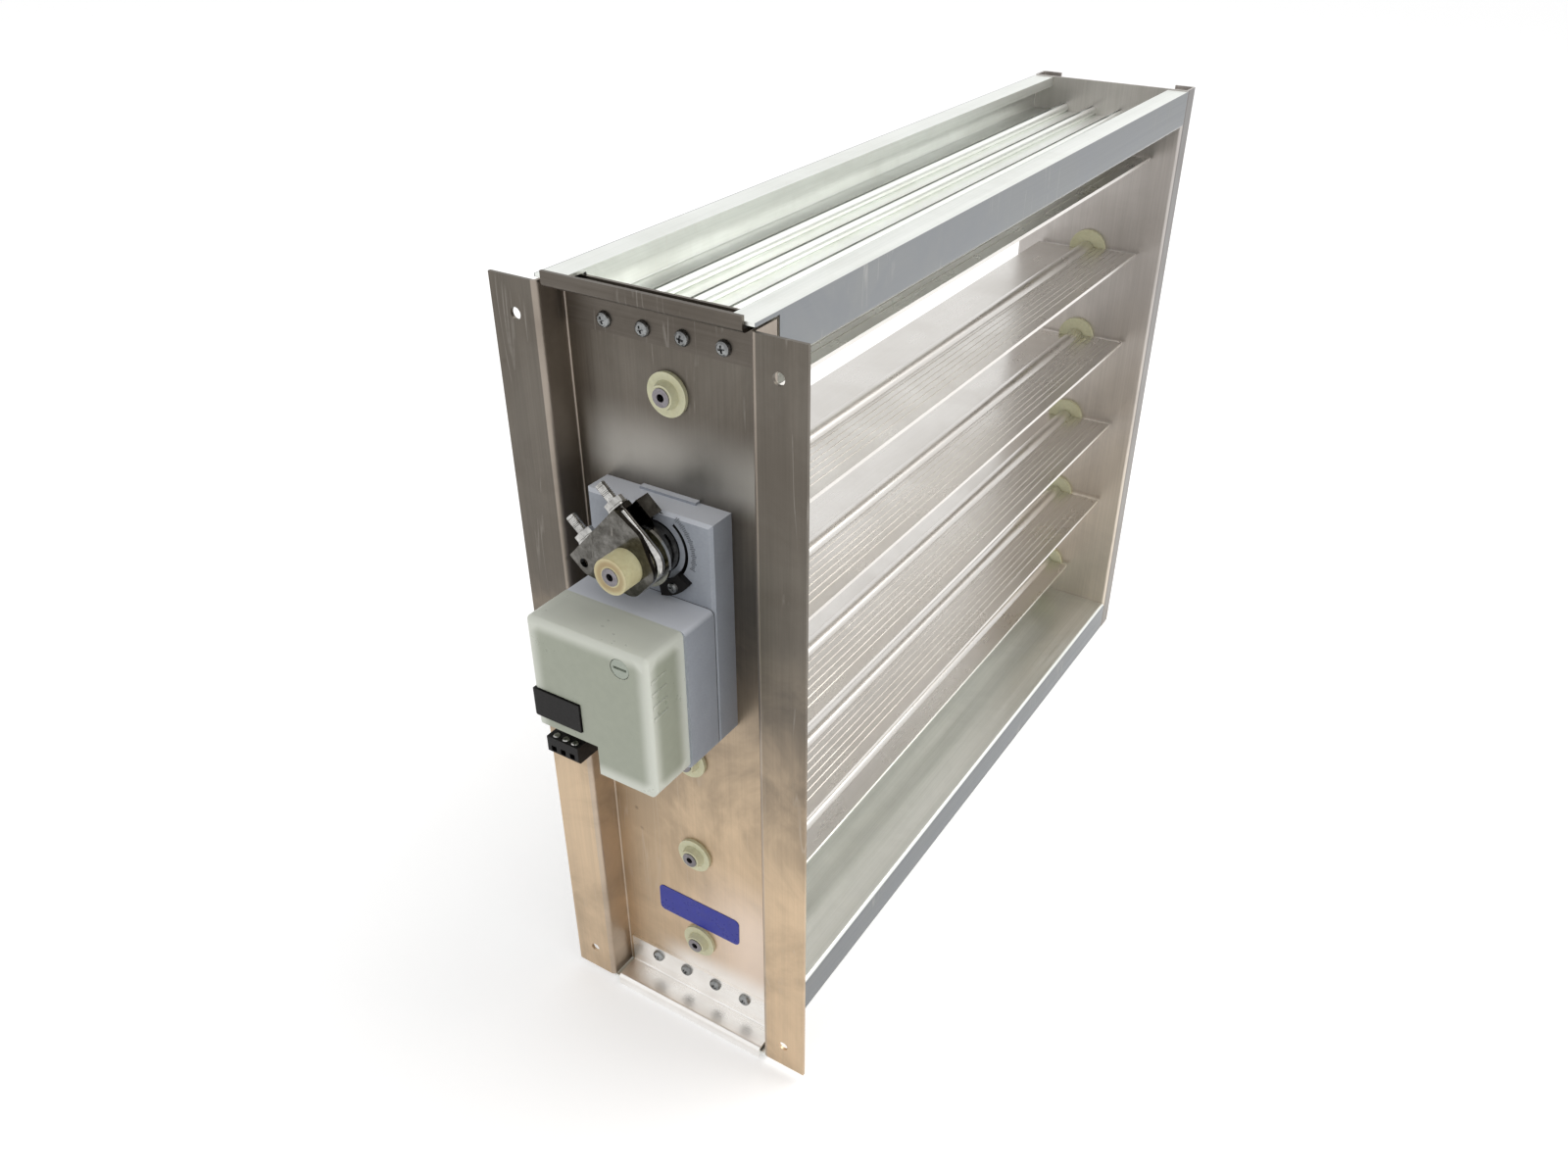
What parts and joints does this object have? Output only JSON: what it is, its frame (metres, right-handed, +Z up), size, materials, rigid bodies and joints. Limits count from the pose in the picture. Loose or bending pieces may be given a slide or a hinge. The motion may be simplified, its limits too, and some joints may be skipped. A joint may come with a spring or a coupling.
{
  "type": "motorized zone damper",
  "caption": "Rectangular duct damper: parallel lapping blades on nylon bushings in a sheet-metal frame, turned by a clamp-on actuator and a concealed link bar.",
  "frame": {"origin": "centre of the mounting flange, in its front plane", "axes": "+X along the air flow, +Y along the blades away from the actuator, +Z up"},
  "size_m": [0.1556, 0.5706, 0.4226],
  "materials": {
    "sheet_aluminium": "mill finish sheet, brushed",
    "rail_aluminium": "extruded, satin",
    "blade_aluminium": "extruded, bright",
    "axle_steel": "drawn tube",
    "linkage_steel": "zinc plated",
    "zinc_steel": "zinc plated",
    "nylon": "natural nylon",
    "sleeve_nylon": "natural nylon, aged",
    "housing_grey": "moulded blue-grey",
    "cover_clear": "milky translucent",
    "board_green": "circuit board",
    "dial_grey": "moulded grey",
    "black_plastic": "moulded black",
    "bright_zinc": "bright zinc",
    "label_blue": "printed foil, bare"
  },
  "bodies": {
    "frame": {"actuator_base": "housing_grey", "actuator_cover": "cover_clear", "actuator_mid_housing": "housing_grey", "bottom_bracket": "sheet_aluminium", "bottom_rail": "rail_aluminium", "circuit_board": "board_green", "far_bottom_screws": "zinc_steel", "far_bushing_1": "nylon", "far_bushing_2": "nylon", "far_bushing_3": "nylon", "far_bushing_4": "nylon", "far_bushing_5": "nylon", "far_bushing_6": "nylon", "far_end_plate": "sheet_aluminium", "far_top_screws": "zinc_steel", "label_plate": "label_blue", "near_bottom_screws": "zinc_steel", "near_bushing_1": "nylon", "near_bushing_2": "nylon", "near_bushing_3": "nylon", "near_bushing_4": "nylon", "near_bushing_5": "nylon", "near_bushing_6": "nylon", "near_end_plate": "sheet_aluminium", "near_top_screws": "zinc_steel", "terminal_header": "black_plastic", "top_bracket": "sheet_aluminium", "top_rail": "rail_aluminium"},
    "blade_2_drive": {"blade_2": "blade_aluminium", "axle_2": "axle_steel", "crank_2": "linkage_steel", "drive_sleeve": "sleeve_nylon", "drive_hub": "black_plastic", "hub_ring": "bright_zinc", "clamp_bracket": "bright_zinc", "u_bolt": "bright_zinc", "clamp_nut_1": "bright_zinc", "clamp_nut_2": "bright_zinc"},
    "link": {"link_bar": "linkage_steel"},
    "release_button": {"release_button": "black_plastic"},
    "direction_dial": {"direction_dial": "dial_grey"},
    "terminal_plug": {"terminal_plug": "black_plastic"},
    "end_stop": {"end_stop_tab": "black_plastic", "end_stop_screw": "bright_zinc"},
    "blade_1_leaf": {"blade_1": "blade_aluminium", "axle_1": "axle_steel", "crank_1": "linkage_steel"},
    "blade_3_leaf": {"blade_3": "blade_aluminium", "axle_3": "axle_steel", "crank_3": "linkage_steel"},
    "blade_4_leaf": {"blade_4": "blade_aluminium", "axle_4": "axle_steel", "crank_4": "linkage_steel"},
    "blade_5_leaf": {"blade_5": "blade_aluminium", "axle_5": "axle_steel", "crank_5": "linkage_steel"},
    "blade_6_leaf": {"blade_6": "blade_aluminium", "axle_6": "axle_steel", "crank_6": "linkage_steel"}
  },
  "joints": [
    {"name": "blade_2_hinge", "type": "hinge", "parent": "frame", "child": "blade_2_drive", "pos_m": [0, 0.2634, 0.099], "axis": [0, 1, 0], "range_deg": [0, 90]},
    {"name": "blade_1_hinge", "type": "hinge", "parent": "frame", "child": "blade_1_leaf", "pos_m": [0, 0.2634, 0.164], "axis": [0, 1, 0], "range_deg": [0, 90]},
    {"name": "blade_3_hinge", "type": "hinge", "parent": "frame", "child": "blade_3_leaf", "pos_m": [0, 0.2634, 0.034], "axis": [0, 1, 0], "range_deg": [0, 90]},
    {"name": "blade_4_hinge", "type": "hinge", "parent": "frame", "child": "blade_4_leaf", "pos_m": [0, 0.2634, -0.031], "axis": [0, 1, 0], "range_deg": [0, 90]},
    {"name": "blade_5_hinge", "type": "hinge", "parent": "frame", "child": "blade_5_leaf", "pos_m": [0, 0.2634, -0.096], "axis": [0, 1, 0], "range_deg": [0, 90]},
    {"name": "blade_6_hinge", "type": "hinge", "parent": "frame", "child": "blade_6_leaf", "pos_m": [0, 0.2634, -0.161], "axis": [0, 1, 0], "range_deg": [0, 90]},
    {"name": "link_hinge", "type": "hinge", "parent": "blade_2_drive", "child": "link", "pos_m": [0.01414, 0.5197, 0.11314], "axis": [0, 1, 0], "range_deg": [-90, 0]},
    {"name": "release_button_slide", "type": "slide", "parent": "frame", "child": "release_button", "axis": [0, 1, 0], "range_m": [0, 0.003], "stiffness_N_per_m": 300},
    {"name": "direction_dial_hinge", "type": "hinge", "parent": "frame", "child": "direction_dial", "pos_m": [0.014, -0.044, 0.06645], "axis": [0, 1, 0], "range_deg": [0, 90]},
    {"name": "terminal_plug_slide", "type": "slide", "parent": "frame", "child": "terminal_plug", "axis": [0, -1, 0], "range_m": [0, 0.012]},
    {"name": "end_stop_hinge", "type": "hinge", "parent": "frame", "child": "end_stop", "pos_m": [0, 0, 0.099], "axis": [0, 1, 0], "range_deg": [-15, 10]}
  ],
  "couplings": [
    {"joint": "blade_1_hinge", "follows": "blade_2_hinge", "ratio": 1},
    {"joint": "blade_3_hinge", "follows": "blade_2_hinge", "ratio": 1},
    {"joint": "blade_4_hinge", "follows": "blade_2_hinge", "ratio": 1},
    {"joint": "blade_5_hinge", "follows": "blade_2_hinge", "ratio": 1},
    {"joint": "blade_6_hinge", "follows": "blade_2_hinge", "ratio": 1},
    {"joint": "link_hinge", "follows": "blade_2_hinge", "ratio": -1}
  ]
}
